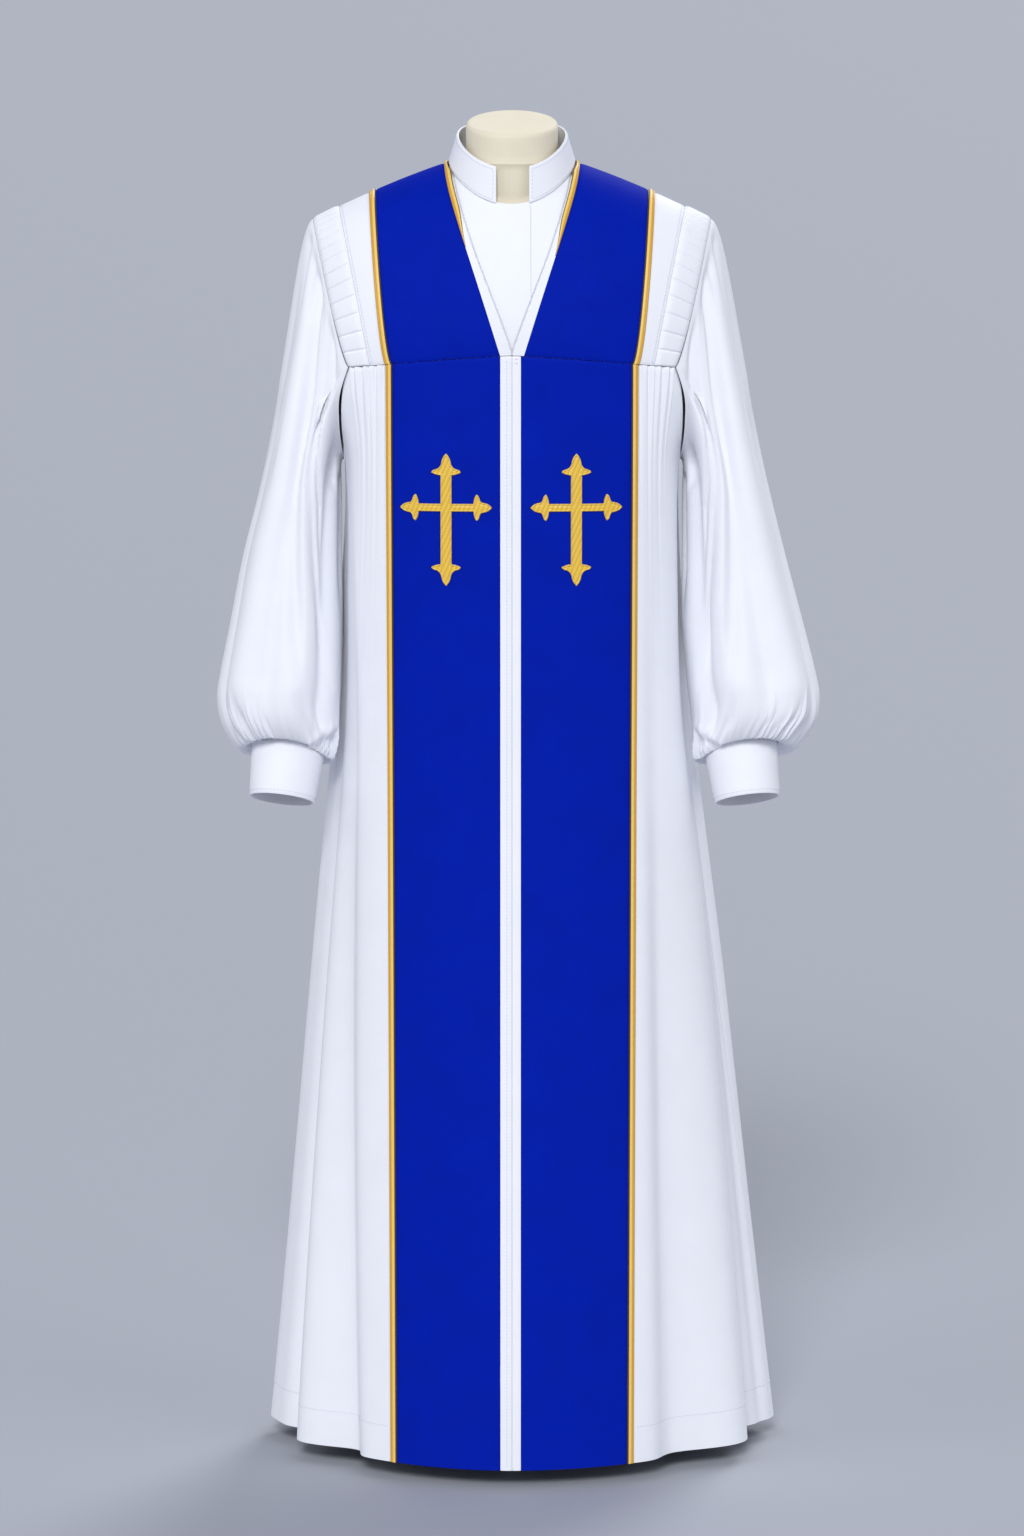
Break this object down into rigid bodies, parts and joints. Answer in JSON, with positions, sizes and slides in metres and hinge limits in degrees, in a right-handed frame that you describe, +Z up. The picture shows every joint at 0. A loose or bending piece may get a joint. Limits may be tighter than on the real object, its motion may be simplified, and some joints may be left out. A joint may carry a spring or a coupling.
{
  "type": "pulpit robe on a limbless dress form with a stand",
  "caption": "Long white pulpit robe with blue front panels, gold piping, gold crosses, fluted sleeve heads and full sleeves on a limbless dress form.",
  "frame": {"origin": "centre of the stand's underside on the floor, below the pole", "axes": "+Z up, the robe faces -Y, the wearer's left is +X"},
  "size_m": [0.6469, 0.4437, 1.4458],
  "materials": {
    "white_cloth": "white polyester with a soft sheen",
    "blue_cloth": "royal blue matte satin",
    "gold_piping": "gold cord with a satin sheen",
    "gold_embroidery": "gold satin stitch",
    "form_cover": "cream fabric cover",
    "stand_metal": "satin grey paint"
  },
  "bodies": {
    "root": {"yoke_panel_right": "blue_cloth", "yoke_piping_right": "gold_piping", "yoke_side_right": "white_cloth", "fluting_right": "white_cloth", "neck_piping_right": "gold_piping", "neck_band_right": "white_cloth", "front_band_right": "white_cloth", "front_panel_right": "blue_cloth", "front_piping_right": "gold_piping", "side_front_right": "white_cloth", "sleeve_right": "white_cloth", "cuff_right": "white_cloth", "cross_right": "gold_embroidery", "yoke_panel_left": "blue_cloth", "yoke_piping_left": "gold_piping", "yoke_side_left": "white_cloth", "fluting_left": "white_cloth", "neck_piping_left": "gold_piping", "neck_band_left": "white_cloth", "front_band_left": "white_cloth", "front_panel_left": "blue_cloth", "front_piping_left": "gold_piping", "side_front_left": "white_cloth", "sleeve_left": "white_cloth", "cuff_left": "white_cloth", "cross_left": "gold_embroidery", "yoke_back": "white_cloth", "bib_right": "white_cloth", "bib_left": "white_cloth", "collar": "white_cloth", "back": "white_cloth", "dress_form": "form_cover", "stand_base": "stand_metal", "stand_pole": "stand_metal"}
  },
  "joints": []
}
